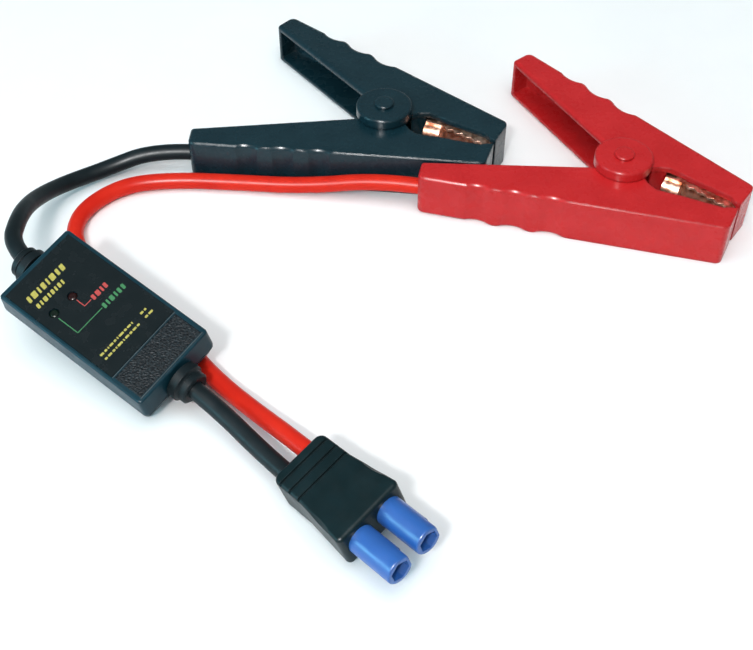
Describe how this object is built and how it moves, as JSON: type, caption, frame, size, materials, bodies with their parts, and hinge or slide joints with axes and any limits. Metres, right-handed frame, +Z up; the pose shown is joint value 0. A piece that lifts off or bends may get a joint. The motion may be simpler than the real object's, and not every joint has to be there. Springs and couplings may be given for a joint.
{
  "type": "jump starter clamp lead",
  "caption": "Spring battery clamps on a short cable with an in-line control box and a two-pole plug for a jump starter pack.",
  "frame": {"origin": "bottom centre of the rigid pieces, on the surface the lead lies on", "axes": "+Z up; +X from the control box towards the clamps; +Y from the plug towards the clamps"},
  "size_m": [0.2415, 0.2464, 0.0294],
  "materials": {
    "red_plastic": "satin moulded",
    "black_plastic": "satin moulded",
    "copper_plate": "copper plated",
    "bare_copper": "stranded",
    "steel": "zinc plated",
    "case_plastic": "fine grain",
    "label_film": "satin film",
    "board": "lacquered",
    "component_black": "matt",
    "capacitor": "can",
    "tinned_bar": "tinned",
    "boot_rubber": "satin",
    "red_lens": "tinted",
    "green_lens": "tinted",
    "hood_plastic": "satin",
    "blue_plastic": "satin moulded",
    "contact_brass": "gold plated",
    "red_silicone": "silicone",
    "black_silicone": "silicone"
  },
  "bodies": {
    "root": {"black_bridge_strap": "copper_plate", "black_cable_core": "bare_copper", "black_clamp_cable": "black_silicone", "black_lower_jaw": "copper_plate", "black_lower_shell": "black_plastic", "black_pivot_cap": "black_plastic", "black_pivot_pin": "steel", "black_plug_cable": "black_silicone", "black_torsion_spring": "steel", "box_bottom_shell": "case_plastic", "box_label": "label_film", "box_screws": "steel", "box_top_cover": "case_plastic", "bus_bar": "tinned_bar", "circuit_board": "board", "clamp_side_boot": "boot_rubber", "clamp_side_core": "bare_copper", "clamp_side_terminal": "tinned_bar", "control_chip": "component_black", "error_led": "red_lens", "filter_capacitor": "capacitor", "negative_contact": "contact_brass", "plug_hood": "hood_plastic", "plug_housing": "blue_plastic", "plug_side_boot": "boot_rubber", "plug_side_core": "bare_copper", "plug_side_terminal": "tinned_bar", "positive_contact": "contact_brass", "power_transistors": "component_black", "red_bridge_strap": "copper_plate", "red_cable": "red_silicone", "red_cable_core": "bare_copper", "red_lower_jaw": "copper_plate", "red_lower_shell": "red_plastic", "red_pivot_cap": "red_plastic", "red_pivot_pin": "steel", "red_torsion_spring": "steel", "start_led": "green_lens"},
    "red_clamp_upper": {"red_upper_shell": "red_plastic", "red_upper_jaw": "copper_plate"},
    "black_clamp_upper": {"black_upper_shell": "black_plastic", "black_upper_jaw": "copper_plate"}
  },
  "joints": [
    {"name": "red_clamp_hinge", "type": "hinge", "parent": "root", "child": "red_clamp_upper", "pos_m": [0.077, 0.03572, 0.008], "axis": [0, 0, 1], "range_deg": [0, 18], "stiffness_Nm_per_rad": 0.8, "springref_deg": -45.84, "deforming": ["red_torsion_spring"]},
    {"name": "black_clamp_hinge", "type": "hinge", "parent": "root", "child": "black_clamp_upper", "pos_m": [-0.0035, 0.06362, 0.008], "axis": [0, 0, 1], "range_deg": [0, 18], "stiffness_Nm_per_rad": 0.8, "springref_deg": -45.84, "deforming": ["black_torsion_spring"]}
  ]
}
